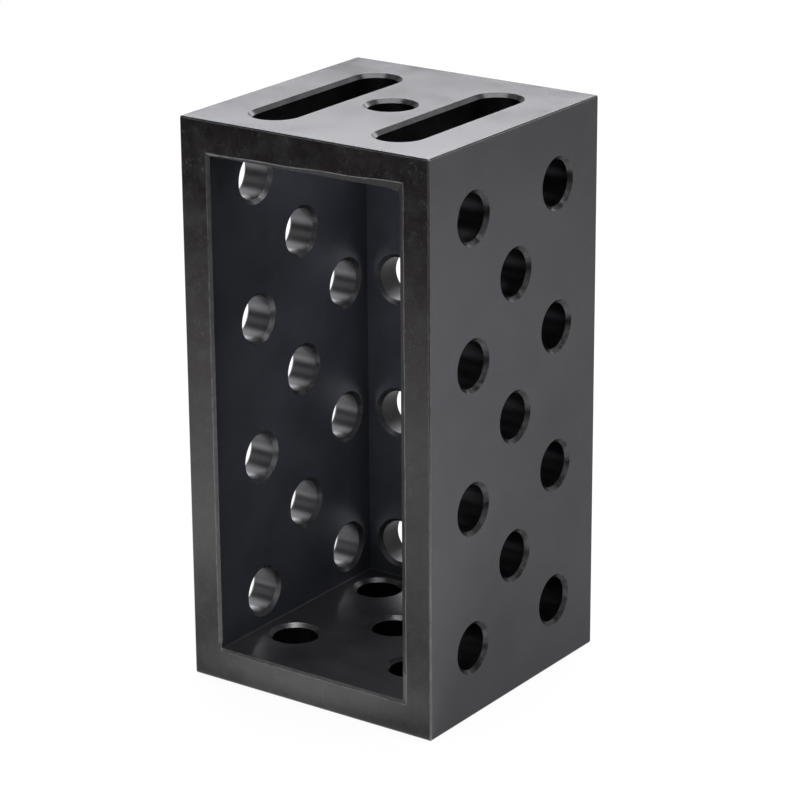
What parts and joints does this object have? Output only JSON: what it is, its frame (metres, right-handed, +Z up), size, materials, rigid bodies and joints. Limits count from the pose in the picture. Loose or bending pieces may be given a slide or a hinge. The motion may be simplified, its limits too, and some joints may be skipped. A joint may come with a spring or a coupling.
{
  "type": "riser block",
  "caption": "Hollow open-fronted riser block for workholding, with staggered chamfered through holes in its walls and floor and clamping slots in its top.",
  "frame": {"origin": "middle of the base", "axes": "+Z up through the top with its slots, the open mouth faces -Y, +X to the right of someone facing the mouth"},
  "size_m": [0.1, 0.1, 0.2],
  "materials": {
    "blackened_iron": "ground, then blackened to a satin near-black, worn lighter along the edges and in the holes"
  },
  "bodies": {
    "root": {"riser_block": "blackened_iron"}
  },
  "joints": []
}
